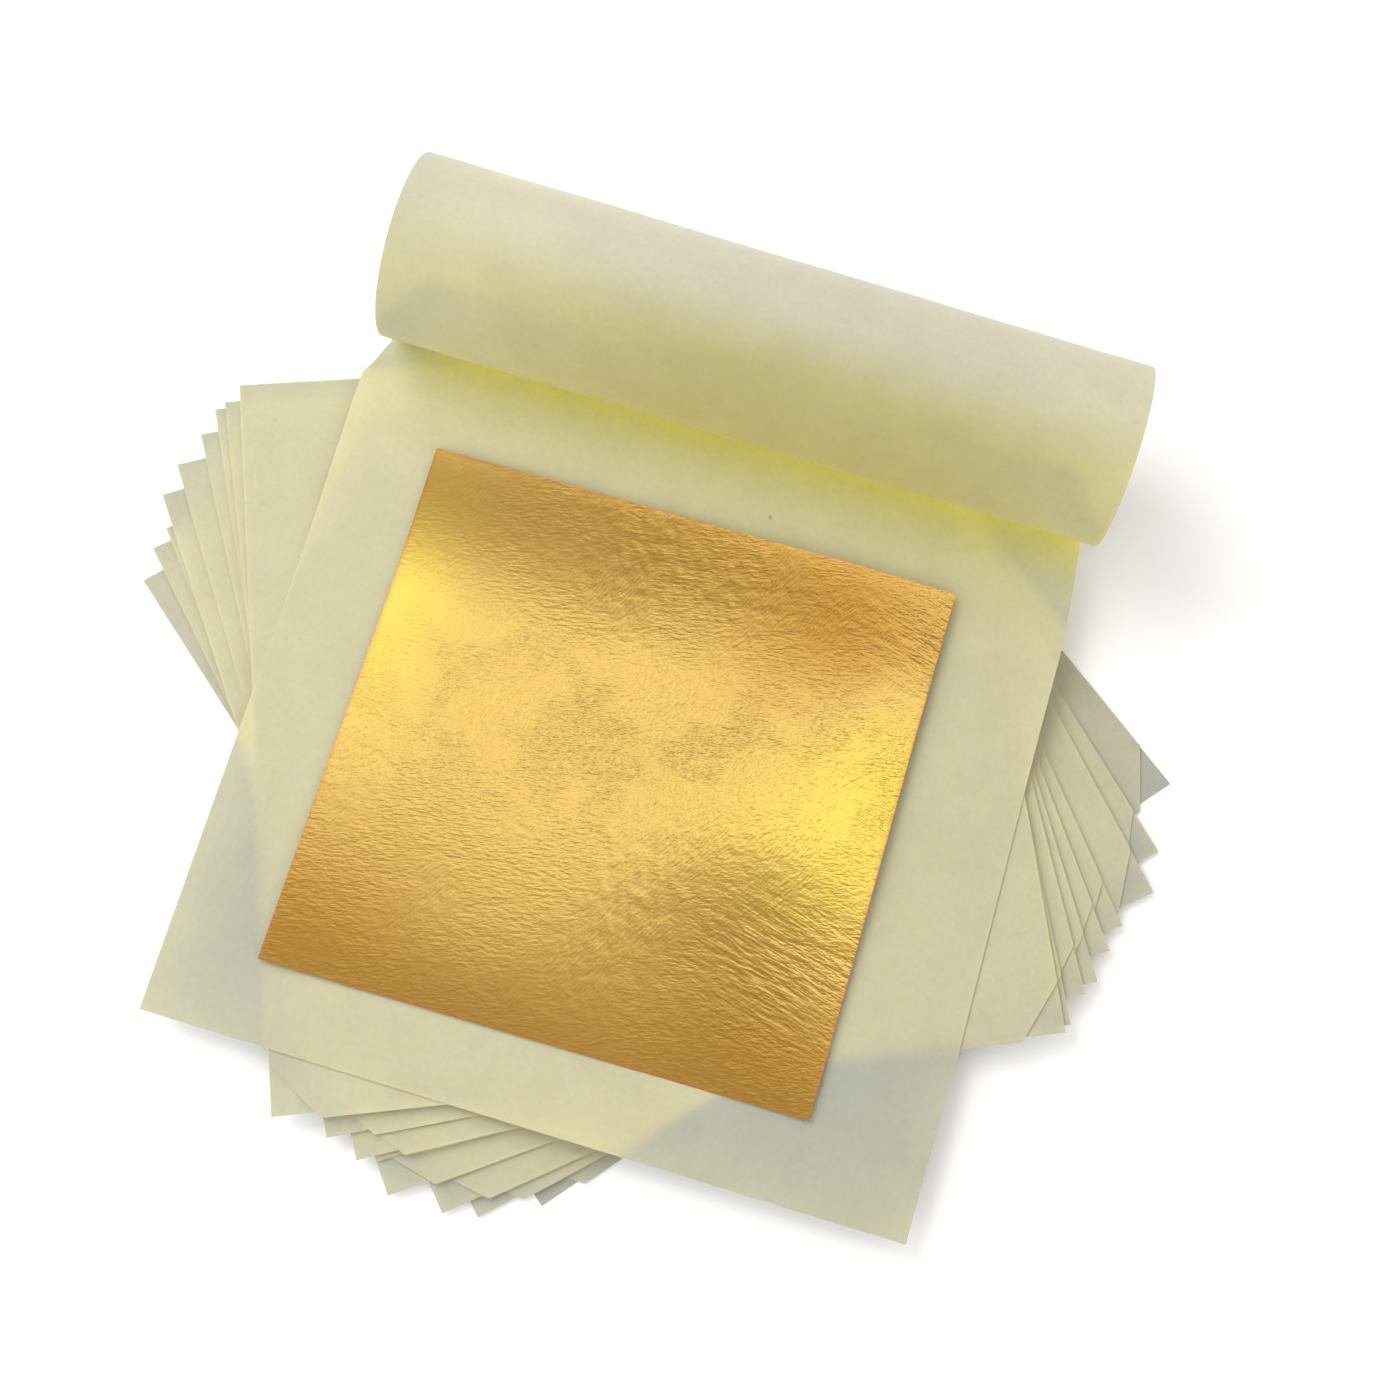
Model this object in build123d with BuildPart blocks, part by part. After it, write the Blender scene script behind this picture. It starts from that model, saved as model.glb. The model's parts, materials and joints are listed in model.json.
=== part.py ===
from build123d import *
import math
import os

# A loose pile of ten folded tissues with one beaten metal leaf in each. The top tissue is open:
# its upper layer is curled back past the fold, and its leaf lies bare on the lower layer.
# The other nine lie closed beneath it, fanned out.
#
# Frame: millimetres. The origin is on the surface that the pile lies on, under the middle of the
# top tissue. +Z is up, +Y runs from the free edge of the top tissue to its fold, and +X along it.

# Tissue
sheet_width = 110.5  # along the fold
sheet_length = 109.3  # from the fold to the free edge of the lower layer
paper = 0.08  # thickness of one layer
upper_overhang = 0.8  # the upper layer ends this far beyond the lower one
clip_along_side = 8.0  # corners cut off the upper layer, for a finger to catch the lower one
clip_along_edge = 6.5
air_gap = 0.12  # what a limp sheet keeps between itself and what it lies on

# Leaf
leaf_side = 80.0
leaf_thickness = 0.02
leaf_off_x = -1.7  # middle of the leaf from the middle of its tissue
leaf_off_y = -3.0

# Curled upper layer of the top tissue
roll_radius = 13.15
roll_setback = 8.2  # axis of the roll beyond the fold
winding_step = 0.15  # how much tighter each quarter turn is than the one before

packet_count = 10
quarter_turn = 90.0

# Where each closed tissue lies, from the highest to the lowest: its turn in degrees, its middle,
# how far its free left corner is cut in, and how far the right end of its fold is, as shares of
# the tissue's width.
fan_shares = [
    (22.6, -0.021, 0.082, 0.000, -0.005, 0.000),
    (24.4, -0.024, 0.074, 0.024, 0.025, 0.000),
    (26.9, -0.024, 0.090, 0.025, -0.010, 0.000),
    (29.5, -0.021, 0.081, 0.035, -0.013, 0.000),
    (33.5, -0.025, 0.078, 0.030, 0.013, 0.000),
    (37.0, -0.022, 0.074, 0.000, 0.004, 0.000),
    (41.1, 0.004, 0.081, -0.006, 0.006, 0.000),
    (44.7, -0.002, 0.094, -0.004, 0.001, 0.000),
    (50.6, -0.002, 0.120, 0.000, 0.007, 0.025),
]
top_trim_shares = (0.010, 0.000, 0.000)

# Corners of a leaf as shares of its side: no leaf is cut quite square
leaf_corner_shares = [(-0.505, 0.4925), (0.501, 0.510), (0.497, -0.495), (-0.493, -0.506)]

# Heights that follow from the layers
layer_rise = paper + leaf_thickness + air_gap  # from one layer's underside to the other's
packet_height = layer_rise + paper
pitch = packet_height + air_gap
top_level = (packet_count - 1) * pitch

half_width = sheet_width / 2
half_length = sheet_length / 2


def place_on_pile(number, turn, x_share, y_share):
    """The plane of a tissue's underside: number 1 is the top tissue."""
    middle = (x_share * sheet_width, y_share * sheet_width, (packet_count - number) * pitch)
    across = (math.cos(math.radians(turn)), math.sin(math.radians(turn)), 0)
    return Plane(origin=middle, x_dir=across, z_dir=(0, 0, 1))


def lower_outline(trim_x_share, trim_y_share, fold_trim_share):
    """Corners of the full layer, from the fold's left end clockwise."""
    return [
        (-half_width, half_length),
        (half_width - fold_trim_share * sheet_width, half_length),
        (half_width, -half_length),
        (-half_width + trim_x_share * sheet_width, -half_length + trim_y_share * sheet_width),
    ]


def upper_outline(trim_x_share, trim_y_share, fold_trim_share):
    """Corners of the layer laid over the leaf: a little longer, with both free corners clipped."""
    free_edge = -half_length - upper_overhang
    left = -half_width + trim_x_share * sheet_width
    left_edge = free_edge + trim_y_share * sheet_width
    return [
        (-half_width, half_length),
        (half_width - fold_trim_share * sheet_width, half_length),
        (half_width, free_edge + clip_along_side),
        (half_width - clip_along_edge, free_edge),
        (left + clip_along_edge, left_edge),
        (left, left_edge + clip_along_side),
    ]


def sheet_face(place, corners):
    """A flat face of the given outline on that plane."""
    with BuildSketch(place) as face:
        with BuildLine():
            Polyline(corners, close=True)
        make_face()
    return face.sketch


def folded_tissue(place, *trim_shares):
    """A closed tissue: the lower layer, the bend at the fold and the upper layer, in one piece."""
    bend_outside = packet_height / 2
    bend_inside = bend_outside - paper
    fold_length = (1 - trim_shares[-1]) * sheet_width
    fold_start = place.from_local_coords(Vector(-half_width, half_length, bend_outside))
    with BuildPart() as tissue:
        extrude(sheet_face(place, lower_outline(*trim_shares)), amount=paper)
        upper_place = place.offset(layer_rise)
        extrude(sheet_face(upper_place, upper_outline(*trim_shares)), amount=paper)
        with BuildSketch(Plane(origin=fold_start, x_dir=place.y_dir, z_dir=place.x_dir)):
            with BuildLine():
                CenterArc((0, 0), bend_outside, -quarter_turn, 2 * quarter_turn)
                Line((0, bend_outside), (0, bend_inside))
                CenterArc((0, 0), bend_inside, quarter_turn, -2 * quarter_turn)
                Line((0, -bend_inside), (0, -bend_outside))
            make_face()
        extrude(amount=fold_length)
    return tissue


def metal_leaf(place):
    """A leaf lying on the lower layer of the tissue at that place."""
    corners = [
        (leaf_off_x + x_share * leaf_side, leaf_off_y + y_share * leaf_side)
        for x_share, y_share in leaf_corner_shares
    ]
    with BuildPart() as leaf:
        extrude(sheet_face(place.offset(paper), corners), amount=leaf_thickness)
    return leaf


def finish(piece, name):
    """Label a finished piece and write it."""
    piece.part.label = name
    export_step(piece.part, f"parts/{name}.step")


os.makedirs("parts", exist_ok=True)

# Closed tissues and the leaves inside them, number 2 directly under the top one
for number, (turn, x_share, y_share, *trim_shares) in enumerate(fan_shares, start=2):
    place = place_on_pile(number, turn, x_share, y_share)
    finish(folded_tissue(place, *trim_shares), f"tissue_{number:02d}")
    finish(metal_leaf(place), f"gold_leaf_{number:02d}")

# Top tissue: its lower layer lies flat and carries the bare leaf
top_place = place_on_pile(1, 0, 0, 0)
with BuildPart() as top_tissue_base:
    extrude(sheet_face(top_place, lower_outline(*top_trim_shares)), amount=paper)
finish(top_tissue_base, "top_tissue_base")
finish(metal_leaf(top_place), "top_gold_leaf")


# Curled upper layer, seen along +X with Y to the right and Z up. It starts on the fold at the
# top face of the lower layer, rises straight to where it touches the roll, and then winds back
# over the top, down behind and round inside itself. An arc of it is a centre, a radius, the
# angle where it starts, in degrees from +Y towards +Z, and how far it turns clockwise.
def on_circle(centre, radius, angle):
    """The point at that angle."""
    return (
        centre[0] + radius * math.cos(math.radians(angle)),
        centre[1] + radius * math.sin(math.radians(angle)),
    )


def wind(centre, radius, angle, length):
    """Arcs of up to a quarter turn, each a step tighter, until that length is wound."""
    arcs = []
    while length > 0:
        sweep = min(quarter_turn, math.degrees(length / radius))
        arcs.append((centre, radius, angle, sweep))
        length = length - radius * math.radians(sweep) if sweep == quarter_turn else 0
        angle = angle - sweep
        centre = on_circle(centre, winding_step, angle)
        radius = radius - winding_step
    return arcs, centre, radius, angle


def curled_layer(arcs, straight_start=None):
    """Profile of the layer along these arcs, after a straight stretch where it has one."""
    centre, radius, angle, _ = arcs[0]
    start = on_circle(centre, radius, angle)
    start_inside = on_circle(centre, radius - paper, angle)
    centre, radius, angle, sweep = arcs[-1]
    end = on_circle(centre, radius, angle - sweep)
    end_inside = on_circle(centre, radius - paper, angle - sweep)
    with BuildSketch(Plane.YZ.offset(-half_width)) as profile:
        with BuildLine():
            for centre, radius, angle, sweep in arcs:
                CenterArc(centre, radius, angle, -sweep)
            Line(end, end_inside)
            for centre, radius, angle, sweep in reversed(arcs):
                CenterArc(centre, radius - paper, angle - sweep, sweep)
            if straight_start is None:
                Line(start_inside, start)
            else:
                across = (start_inside[0] - start[0], start_inside[1] - start[1])
                inside = (straight_start[0] + across[0], straight_start[1] + across[1])
                Polyline(start_inside, inside, straight_start, start)
        make_face()
    return profile.sketch


fold = (half_length, top_level + paper)
roll_centre = (half_length + roll_setback, top_level + roll_radius)
fold_drop = roll_centre[1] - fold[1]
fold_distance = math.hypot(roll_setback, fold_drop)
straight_length = math.sqrt(fold_distance**2 - roll_radius**2)
touch_angle = math.degrees(
    math.atan2(-fold_drop, -roll_setback) - math.acos(roll_radius / fold_distance)
)
curled_length = sheet_length + upper_overhang - straight_length
whole_length = curled_length - clip_along_side
roll_arcs, *next_arc = wind(roll_centre, roll_radius, touch_angle, whole_length)
end_arcs, *_ = wind(*next_arc, clip_along_side)

# The free end with its clipped corners, cut by itself so that the winding around it stays whole
end_centre, end_radius, end_start, end_sweep = end_arcs[-1]
free_angle = end_start - end_sweep
free_edge = on_circle(end_centre, end_radius, free_angle)
outwards = (0, math.cos(math.radians(free_angle)), math.sin(math.radians(free_angle)))
clip_back = end_radius * math.sin(math.radians(end_sweep))
with BuildPart() as free_end:
    extrude(curled_layer(end_arcs), amount=sheet_width)
    for side in (-1, 1):
        corner = (side * half_width, *free_edge)
        with BuildSketch(Plane(origin=corner, x_dir=(-side, 0, 0), z_dir=outwards)):
            with BuildLine():
                Polyline((0, 0), (clip_along_edge, 0), (0, side * clip_back), close=True)
            make_face()
        extrude(amount=clip_along_side, both=True, mode=Mode.SUBTRACT)

with BuildPart() as top_tissue_flap:
    extrude(curled_layer(roll_arcs, straight_start=fold), amount=sheet_width)
    add(free_end.part)
finish(top_tissue_flap, "top_tissue_flap")
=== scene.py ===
import json
import math

import bpy
import numpy as np
from mathutils import Matrix, Vector


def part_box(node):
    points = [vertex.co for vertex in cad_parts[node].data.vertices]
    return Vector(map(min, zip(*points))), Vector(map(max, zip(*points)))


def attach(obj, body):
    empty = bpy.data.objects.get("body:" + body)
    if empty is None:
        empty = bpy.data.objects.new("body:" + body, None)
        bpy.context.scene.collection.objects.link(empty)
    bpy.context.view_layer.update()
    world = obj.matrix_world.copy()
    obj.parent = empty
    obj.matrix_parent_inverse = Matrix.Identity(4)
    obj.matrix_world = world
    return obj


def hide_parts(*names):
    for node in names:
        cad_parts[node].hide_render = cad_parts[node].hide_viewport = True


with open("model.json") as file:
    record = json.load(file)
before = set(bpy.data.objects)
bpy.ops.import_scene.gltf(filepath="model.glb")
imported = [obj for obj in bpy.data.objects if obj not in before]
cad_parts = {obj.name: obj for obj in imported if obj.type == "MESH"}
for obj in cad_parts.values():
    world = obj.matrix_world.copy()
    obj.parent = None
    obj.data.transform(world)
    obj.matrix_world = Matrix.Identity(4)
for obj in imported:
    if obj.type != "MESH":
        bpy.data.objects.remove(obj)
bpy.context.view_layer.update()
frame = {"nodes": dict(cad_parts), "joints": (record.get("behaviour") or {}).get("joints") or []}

# A loose pile of folded tissues, each round a square of beaten leaf. The top tissue is curled
# open past its fold. Metres, +Z up, +Y from the top tissue's free edge to its fold.

MM = 0.001
QUARTER_TURN = math.pi / 2

# Camera and image
IMAGE_SIDE_PX = 1400
FOCAL_PX = 2000
SENSOR_WIDTH_MM = 36
NEAREST_SEEN = 10 * MM
CAMERA_PLACE = Vector((14.16, -81.15, 281.54)) * MM
CAMERA_RIGHT = Vector((0.95722, 0.28135, 0.06763))
CAMERA_BACK = Vector((0.02583, -0.31586, 0.94845))

# Curled layer, a little fuller and nearer to the fold than the frame's
ROLL_RADIUS = 13.85 * MM
ROLL_SETBACK = 7.25 * MM  # axis of the roll beyond the fold
FULLER_LEFT = 0.3 * MM  # added to the radius at the left end
ROLL_SHIFT = 0.6 * MM  # the roll has slipped this far to the right
WINDING_STEP = 0.15 * MM  # how much tighter each quarter turn is
ROLL_UNEVENNESS = 0.25 * MM
UPPER_OVERHANG = 0.8 * MM
CLIP_ALONG_SIDE = 8.0 * MM
CLIP_ALONG_EDGE = 6.5 * MM

# How the rows of points are shared out along a sheet: a closed one has its lower layer, bend,
# upper layer and clipped end, a curled one its root, winding and clipped end
FOLDED_ROW_SHARES = (0.0, 0.3, 0.5, 0.8, 1.0)
CURLED_ROW_SHARES = (0.0, 0.07, 0.94, 1.0)
SHARP_EDGE = math.radians(40)
FOLD_CORNER_EASE = Vector((1.2, 1.2, 0)) * MM  # a handled corner is a little crumpled

# Points across and along each kind of sheet
CLOSED_POINTS = (60, 101)
CURLED_POINTS = (90, 240)
TOP_SHEET_POINTS = 130
LEAF_POINTS = 210

# The top sheet stands up a little before it reaches the fold
LIFT_LEFT = 2.4 * MM
LIFT_RIGHT = 1.6 * MM
LIFT_REACH = 46 * MM
# Its side edges, in millimetres: distance from the fold, and how far the edge stands out there
# past a straight one
LEFT_EDGE = [(0, -0.3), (3.0, -0.4), (4.6, 0.1), (6.8, 0.6), (9.4, 1.7), (109.3, 0)]
RIGHT_EDGE = [(0, -0.6), (6.5, -0.3), (12.3, 0.2), (18.4, 0.6), (81.3, 0.5), (109.3, -0.2)]

# Painted reflection in the leaf's colour, as bright and dark zones: middle and reach as shares
# of its side, from its lower left corner, and how pale or deep the painted reflection is there
GOLD_REFLECTION_ZONES = [
    (0.02, 0.68, 0.10, 0.20, 0.9),
    (0.97, 0.58, 0.16, 0.28, 1.1),
    (0.80, 0.45, 0.16, 0.12, 0.3),
    (0.52, 1.00, 0.30, 0.12, -0.5),
    (0.86, 0.86, 0.20, 0.16, -1.0),
    (0.04, 0.10, 0.22, 0.16, -0.5),
    (0.50, 0.02, 0.60, 0.16, -0.4),
    (0.92, 0.12, 0.20, 0.16, -0.5),
]
# Slow swells of the leaf, placed and sized alike, with the slope towards the far edge in degrees
LEAF_SWELLS = [
    (0.02, 0.70, 0.12, 0.20, -0.5),
    (1.00, 0.60, 0.20, 0.20, -0.3),
    (0.82, 0.33, 0.22, 0.17, 2.8),
    (0.30, 1.00, 0.60, 0.20, 2.4),
    (0.40, 0.74, 0.80, 0.07, 0.5),
    (0.50, 0.00, 0.60, 0.20, 0.8),
]
# Noise in its surface: height and width in millimetres, direction in degrees, how long it is
# for its width, and seed
LEAF_WAVE = (0.05, 16, 20, 1.8, 3)
LEAF_CRINKLES = [(0.006, 0.8, -6, 1.8, 5), (0.006, 0.8, 60, 1.6, 7)]
# Its creases: middle, reach, direction, how long they are for their width, and height in
# millimetres
LEAF_CREASES = [
    ((0.90, 0.26), (0.20, 0.12), -14, 5.0, 0.018),
    ((0.98, 0.90), (0.10, 0.10), -14, 4.0, 0.020),
    ((0.72, 0.62), (0.16, 0.07), -8, 4.0, 0.022),
    ((0.60, 0.30), (0.10, 0.16), 104, 5.0, 0.020),
    ((0.52, 0.90), (0.20, 0.12), 98, 3.0, 0.020),
    ((0.22, 0.62), (0.14, 0.16), 60, 3.0, 0.015),
    ((0.92, 0.70), (0.12, 0.12), 50, 3.0, 0.015),
]
# Places by middle and reach: long creases, where it lies smooth, and where it catches the light
LEAF_LONG_CREASES = [((0.92, 0.24), (0.18, 0.12)), ((1.00, 0.90), (0.10, 0.10))]
LEAF_SMOOTH = [((0.5, -0.05), (1.2, 0.22)), ((0.0, 0.9), (0.28, 0.35))]
LEAF_LIT = [((0.5, 0.57), (0.8, 0.18))]

# Light: how bright the room is, the patch above and behind, and the strip across it
# Strength of the glow painted into the tissue beside the fold, which is no lamp
PAINTED_VALLEY_GLOW = 0.11
ROOM_STRENGTH = 0.98
PATCH_STRENGTH = 0.44
STRIP_STRENGTH = 1.44
PATCH_DIRECTION = Vector((-0.05, 0.28, 0.96))
PATCH_COSINES = (0.78, 0.93)  # where the patch begins and where it is full
# Middle, full half width and faded half width of the strip, as slopes from straight up
STRIP_BACK = (0.285, 0.00, 0.170)
STRIP_SIDE = (0.03, 0.12, 0.50)
KEY_PLACE = Vector((-0.42, 0.20, 0.40))
KEY_POWER = 2.4
FRONT_PLACE = Vector((-0.32, -0.52, 0.33))
FRONT_POWER = 1.3
SOFTBOX_SIDE = 0.5
FLOOR_SIDE = 4

# Colours, sRGB
TISSUE_BACKED = "C6C09D"  # cream where other layers lie below
TISSUE_SINGLE = "ABAC9E"  # greyer where light is lost through a single layer
TISSUE_PAINTED_GLOW = "F6F468"  # painted glow, no lamp: the light that comes through the thin curl into the valley
TISSUE_PAINTED_BOUNCE = "E4DB86"  # painted light that bounces between the sheet and its curl
TISSUE_CURL_LIT = "C0BDA8"  # painted light: whiter where the curl is one layer over air and lit through
TISSUE_WINDING_SHADE = "B0A873"  # deeper where the curl lies over its own winding, and painted shade on the roll's lower side
TISSUE_FLECK = "8C8463"
# The leaf's warm colour, with painted reflection: deeper where it mirrors dark, paler where it
# mirrors bright
GOLD_REFLECTED_DARK = "C29544"
GOLD_WARM = "DDC06E"
GOLD_REFLECTED_BRIGHT = "EBD768"
GOLD_RIM = "E0A45C"
FLOOR_WHITE = "FFFFFF"
ROOM_COLOUR = "FFFFFF"
PATCH_COLOUR = "FFE2C0"


def linear(hex_colour):
    """Linear RGBA of an sRGB hex colour."""
    shares = [int(hex_colour[i : i + 2], 16) / 255 for i in (0, 2, 4)]
    return (*(c / 12.92 if c <= 0.04045 else ((c + 0.055) / 1.055) ** 2.4 for c in shares), 1.0)


def add_node(tree, kind, inputs=None, **settings):
    """Adds a node. Each input is a value, a socket, or a node whose first output is linked."""
    node = tree.nodes.new(kind)
    for name, value in settings.items():
        setattr(node, name, value)
    for name, value in (inputs or {}).items():
        if isinstance(value, bpy.types.Node):
            value = value.outputs[0]
        if isinstance(value, bpy.types.NodeSocket):
            tree.links.new(value, node.inputs[name])
        else:
            node.inputs[name].default_value = value
    return node


def smooth_step(share):
    """A share from 0 to 1 with an easy start and end."""
    return share * share * (3 - 2 * share)


# What the frame says


def corners_at(node, level):
    """The corners of a CAD sheet's outline at that height, anticlockwise from the lower left."""
    touching = 0.001 * MM
    vertices = [v.co for v in frame["nodes"][node].data.vertices]
    points = {(round(v.x, 7), round(v.y, 7)) for v in vertices if abs(v.z - level) < touching}
    middle = np.mean(list(points), axis=0)
    return sorted(points, key=lambda p: math.atan2(p[1] - middle[1], p[0] - middle[0]))


def turned_about(joint, angle):
    """A turn about a joint's upright axis."""
    pivot = Matrix.Translation(Vector((*joint["pos_m"][:2], 0)))
    return pivot @ Matrix.Rotation(angle, 4, "Z") @ pivot.inverted()


base_low, base_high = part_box("top_tissue_base")
leaf_low, leaf_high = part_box("top_gold_leaf")
packet_low, packet_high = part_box("tissue_10")
WIDTH = base_high.x - base_low.x
LENGTH = base_high.y - base_low.y
PAPER = base_high.z - base_low.z
FOLD_Y = base_high.y
TOP_LEVEL = base_low.z
LEAF_THICKNESS = leaf_high.z - leaf_low.z
LAYER_RISE = packet_high.z - packet_low.z - PAPER

# The closed tissues, the joint that each body turns on, and the turn that squares the top
# tissue up with the lowest one
closed = sorted(name for name in frame["nodes"] if name.startswith("tissue_"))
hinges = {joint["child"]: joint for joint in frame["joints"] if joint["type"] == "hinge"}
squared = turned_about(hinges["top_packet"], math.radians(hinges["top_packet"]["range_deg"][1]))


def place_of(node):
    """Where a closed tissue lies: turned back from the squared pile about its own joint."""
    place = Matrix.Translation(Vector((0, 0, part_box(node)[0].z))) @ squared
    joint = hinges.get(node.replace("tissue", "packet"))
    if joint is None:
        return place
    return turned_about(joint, -math.radians(joint["range_deg"][1])) @ place


# Sheets, as Geometry Nodes


def new_tree(name, sizes):
    """A tree with these named inputs and a material. Returns it and its input sockets."""
    tree = bpy.data.node_groups.new(name, "GeometryNodeTree")
    tree.interface.new_socket("Geometry", in_out="OUTPUT", socket_type="NodeSocketGeometry")
    for size, kind in sizes.items():
        tree.interface.new_socket(size, in_out="INPUT", socket_type=f"NodeSocket{kind}")
    tree.interface.new_socket("Material", in_out="INPUT", socket_type="NodeSocketMaterial")
    return tree, tree.nodes.new("NodeGroupInput").outputs


def close_tree(tree, grid, position, material):
    """Moves the grid's points there, realises it and gives it its material."""
    placed = add_node(
        tree, "GeometryNodeSetPosition", {"Geometry": grid.outputs["Mesh"], "Position": position}
    )
    real = add_node(tree, "GeometryNodeRealizeInstances", {"Geometry": placed})
    named = add_node(
        tree, "GeometryNodeSetMaterial", {"Geometry": real, "Material": material}
    )
    add_node(tree, "NodeGroupOutput", {"Geometry": named})


def across_the_sheet(tree, across, clipped, width):
    """X of a point of the sheet, drawn in where the free end's corners are clipped."""
    left = add_node(
        tree, "ShaderNodeMath", {0: clipped, 1: -2.0, 2: width}, operation="MULTIPLY_ADD"
    )
    centred = add_node(tree, "ShaderNodeMath", {0: across, 1: 0.5}, operation="SUBTRACT")
    return add_node(tree, "ShaderNodeMath", {0: centred, 1: left}, operation="MULTIPLY")


def folded_sheet_tree():
    """A sheet folded in two, its upper layer a little longer and clipped at both free corners.
    Its underside's middle is at the origin and the fold is towards +Y."""
    tree, given = new_tree(
        "folded_sheet",
        {
            "Width": "Float",
            "Lower length": "Float",
            "Upper length": "Float",
            "Fold radius": "Float",
            "Clip along side": "Float",
            "Clip along edge": "Float",
            "Free corner cut": "Vector",
            "Fold corner cut": "Vector",
            "Points across": "Int",
            "Points along": "Int",
        },
    )
    start, fold, bent, clip, end = FOLDED_ROW_SHARES
    grid = add_node(
        tree,
        "GeometryNodeMeshGrid",
        {"Vertices X": given["Points across"], "Vertices Y": given["Points along"]},
    )
    share = add_node(tree, "ShaderNodeSeparateXYZ", {0: grid.outputs["UV Map"]})
    across, row = share.outputs["X"], share.outputs["Y"]

    # Out on the lower layer, round the bend and back on the upper layer to its clipped end
    lower, upper, radius = given["Lower length"], given["Upper length"], given["Fold radius"]
    side, edge = given["Clip along side"], given["Clip along edge"]
    whole = add_node(tree, "ShaderNodeMath", {0: upper, 1: side}, operation="SUBTRACT")
    out = add_node(tree, "ShaderNodeMapRange", {0: row, 1: start, 2: fold, 3: 0.0, 4: lower})
    turn = add_node(tree, "ShaderNodeMapRange", {0: row, 1: fold, 2: bent, 3: 0.0, 4: math.pi})
    back = add_node(tree, "ShaderNodeMapRange", {0: row, 1: bent, 2: clip, 3: 0.0, 4: whole})
    last = add_node(tree, "ShaderNodeMapRange", {0: row, 1: clip, 2: end, 3: 0.0, 4: side})
    clipped = add_node(tree, "ShaderNodeMapRange", {0: row, 1: clip, 2: end, 3: 0.0, 4: edge})
    returned = add_node(tree, "ShaderNodeMath", {0: back, 1: last}, operation="ADD")

    sine = add_node(tree, "ShaderNodeMath", {0: turn}, operation="SINE")
    reach = add_node(
        tree, "ShaderNodeMath", {0: sine, 1: radius, 2: out}, operation="MULTIPLY_ADD"
    )
    from_start = add_node(tree, "ShaderNodeMath", {0: reach, 1: returned}, operation="SUBTRACT")
    y = add_node(
        tree, "ShaderNodeMath", {0: lower, 1: -0.5, 2: from_start}, operation="MULTIPLY_ADD"
    )
    cosine = add_node(tree, "ShaderNodeMath", {0: turn}, operation="COSINE")
    fall = add_node(tree, "ShaderNodeMath", {0: cosine, 1: radius}, operation="MULTIPLY")
    z = add_node(tree, "ShaderNodeMath", {0: radius, 1: fall}, operation="SUBTRACT")
    x = across_the_sheet(tree, across, clipped, given["Width"])
    flat = add_node(tree, "ShaderNodeCombineXYZ", {0: x, 1: y, 2: z})

    # The free left corner and the fold's right end are cut in, by less and less towards the
    # other corners
    near_lower = add_node(
        tree, "ShaderNodeMapRange", {0: row, 1: start, 2: fold, 3: 1.0, 4: 0.0}
    )
    near_upper = add_node(tree, "ShaderNodeMath", {0: returned, 1: upper}, operation="DIVIDE")
    near_free = add_node(
        tree, "ShaderNodeMath", {0: near_lower, 1: near_upper}, operation="MAXIMUM"
    )
    near_left = add_node(tree, "ShaderNodeMath", {0: 1.0, 1: across}, operation="SUBTRACT")
    near_fold = add_node(tree, "ShaderNodeMath", {0: 1.0, 1: near_free}, operation="SUBTRACT")
    position = flat
    for corner, near_edge, near_side in (
        ("Free corner cut", near_free, near_left),
        ("Fold corner cut", near_fold, across),
    ):
        weight = add_node(
            tree, "ShaderNodeMath", {0: near_edge, 1: near_side}, operation="MULTIPLY"
        )
        cut = add_node(
            tree, "ShaderNodeVectorMath", {0: given[corner], "Scale": weight}, operation="SCALE"
        )
        position = add_node(
            tree, "ShaderNodeVectorMath", {0: position, 1: cut}, operation="ADD"
        )
    close_tree(tree, grid, position, given["Material"])
    return tree


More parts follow.
